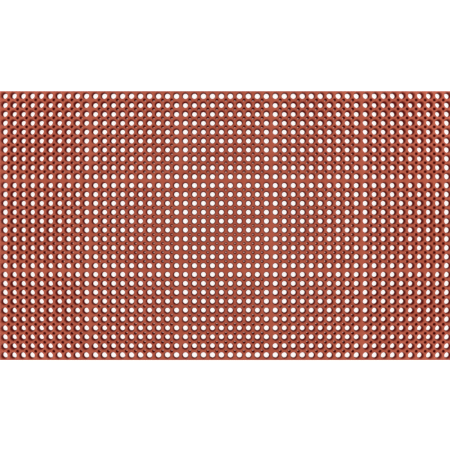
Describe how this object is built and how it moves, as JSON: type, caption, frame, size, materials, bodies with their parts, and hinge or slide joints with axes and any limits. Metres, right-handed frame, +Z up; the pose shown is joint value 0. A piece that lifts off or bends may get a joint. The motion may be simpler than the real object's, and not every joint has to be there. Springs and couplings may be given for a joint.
{
  "type": "anti fatigue drainage mat",
  "caption": "Flat rectangular rubber floor mat perforated by a square grid of round drain holes, with small blind pockets between them and plain bands between square panels.",
  "frame": {"origin": "middle of the mat's footprint, on the floor under the mat", "axes": "+X along the long side, +Y from the front edge to the back edge, +Z up through the thickness"},
  "size_m": [1.524, 0.906, 0.0127],
  "materials": {
    "rubber": "matt moulded nitrile rubber, terracotta red, slightly satin on the raised rims"
  },
  "bodies": {
    "strip_1": {"panel_1_front": "rubber", "panel_1_middle": "rubber", "panel_1_back": "rubber"},
    "strip_2": {"panel_2_front": "rubber", "panel_2_middle": "rubber", "panel_2_back": "rubber"},
    "strip_3": {"panel_3_front": "rubber", "panel_3_middle": "rubber", "panel_3_back": "rubber"},
    "strip_4": {"panel_4_front": "rubber", "panel_4_middle": "rubber", "panel_4_back": "rubber"},
    "strip_5": {"panel_5_front": "rubber", "panel_5_middle": "rubber", "panel_5_back": "rubber"}
  },
  "joints": [
    {"name": "curl_left_inner", "type": "hinge", "parent": "strip_3", "child": "strip_2", "pos_m": [-0.1524, 0, 0.0127], "axis": [0, 1, 0], "range_deg": [0, 70], "stiffness_Nm_per_rad": 1.1},
    {"name": "curl_left_outer", "type": "hinge", "parent": "strip_2", "child": "strip_1", "pos_m": [-0.4572, 0, 0.0127], "axis": [0, 1, 0], "range_deg": [0, 70], "stiffness_Nm_per_rad": 1.1},
    {"name": "curl_right_inner", "type": "hinge", "parent": "strip_3", "child": "strip_4", "pos_m": [0.1524, 0, 0.0127], "axis": [0, -1, 0], "range_deg": [0, 70], "stiffness_Nm_per_rad": 1.1},
    {"name": "curl_right_outer", "type": "hinge", "parent": "strip_4", "child": "strip_5", "pos_m": [0.4572, 0, 0.0127], "axis": [0, -1, 0], "range_deg": [0, 70], "stiffness_Nm_per_rad": 1.1}
  ]
}
